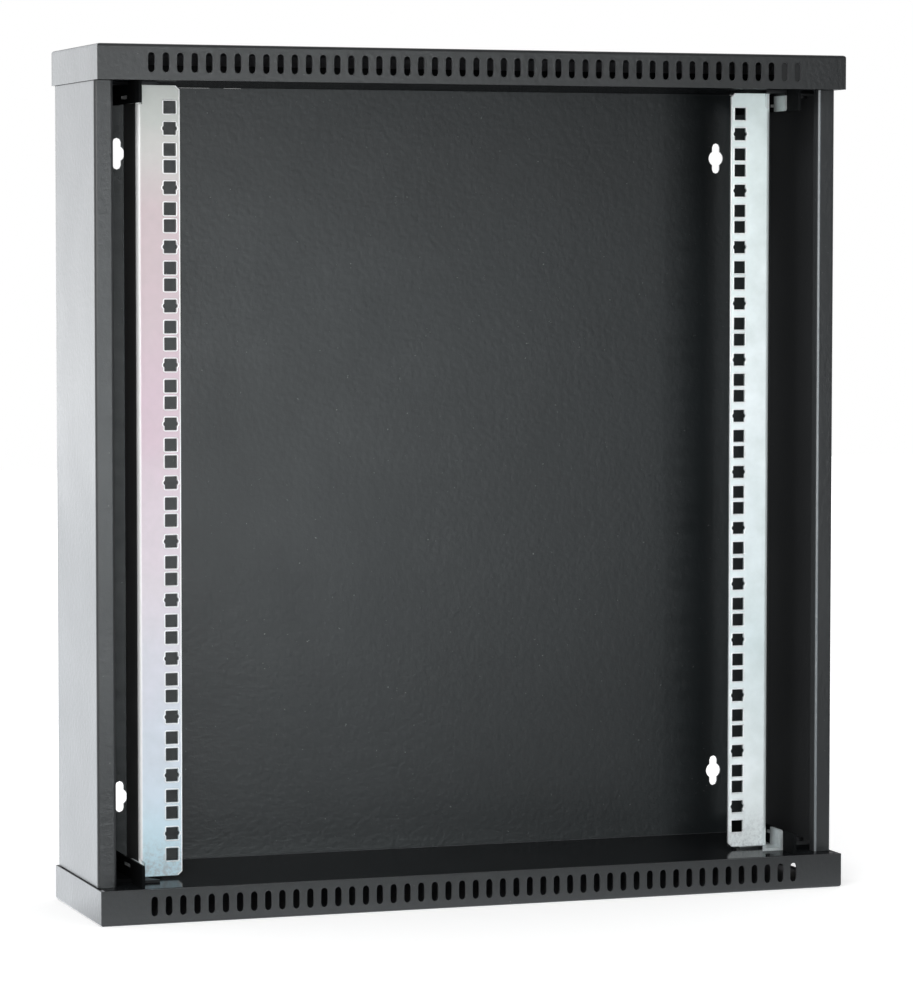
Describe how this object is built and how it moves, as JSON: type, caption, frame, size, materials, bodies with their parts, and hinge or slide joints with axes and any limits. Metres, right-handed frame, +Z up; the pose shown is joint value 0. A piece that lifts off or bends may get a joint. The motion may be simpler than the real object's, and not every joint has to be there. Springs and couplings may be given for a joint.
{
  "type": "wall mount rack cabinet",
  "caption": "Slim open-front wall rack of folded black sheet steel with vented top and bottom covers and zinc-plated rails with square holes.",
  "frame": {"origin": "middle of the rear panel's outer face, which lies on the wall", "axes": "+X to the right seen from the front, +Y into the wall (the open front faces -Y), +Z up"},
  "size_m": [0.6014, 0.1425, 0.6546],
  "materials": {
    "powder_coat": "black fine-textured powder coat, semi-gloss",
    "zinc": "bright zinc plating, satin"
  },
  "bodies": {
    "root": {"top_cover": "powder_coat", "bottom_cover": "powder_coat", "top_inner_plate": "powder_coat", "bottom_inner_plate": "powder_coat", "left_side_panel": "powder_coat", "right_side_panel": "powder_coat", "rear_panel": "powder_coat", "left_rail": "zinc", "right_rail": "zinc", "top_left_carrier": "powder_coat", "top_left_foot": "zinc", "top_right_carrier": "powder_coat", "top_right_foot": "zinc", "bottom_left_carrier": "powder_coat", "bottom_left_foot": "zinc", "bottom_right_carrier": "powder_coat", "bottom_right_foot": "zinc", "foot_bolts": "zinc", "foot_nuts": "zinc", "panel_screws": "zinc", "panel_nuts": "zinc", "rear_screws": "zinc"}
  },
  "joints": []
}
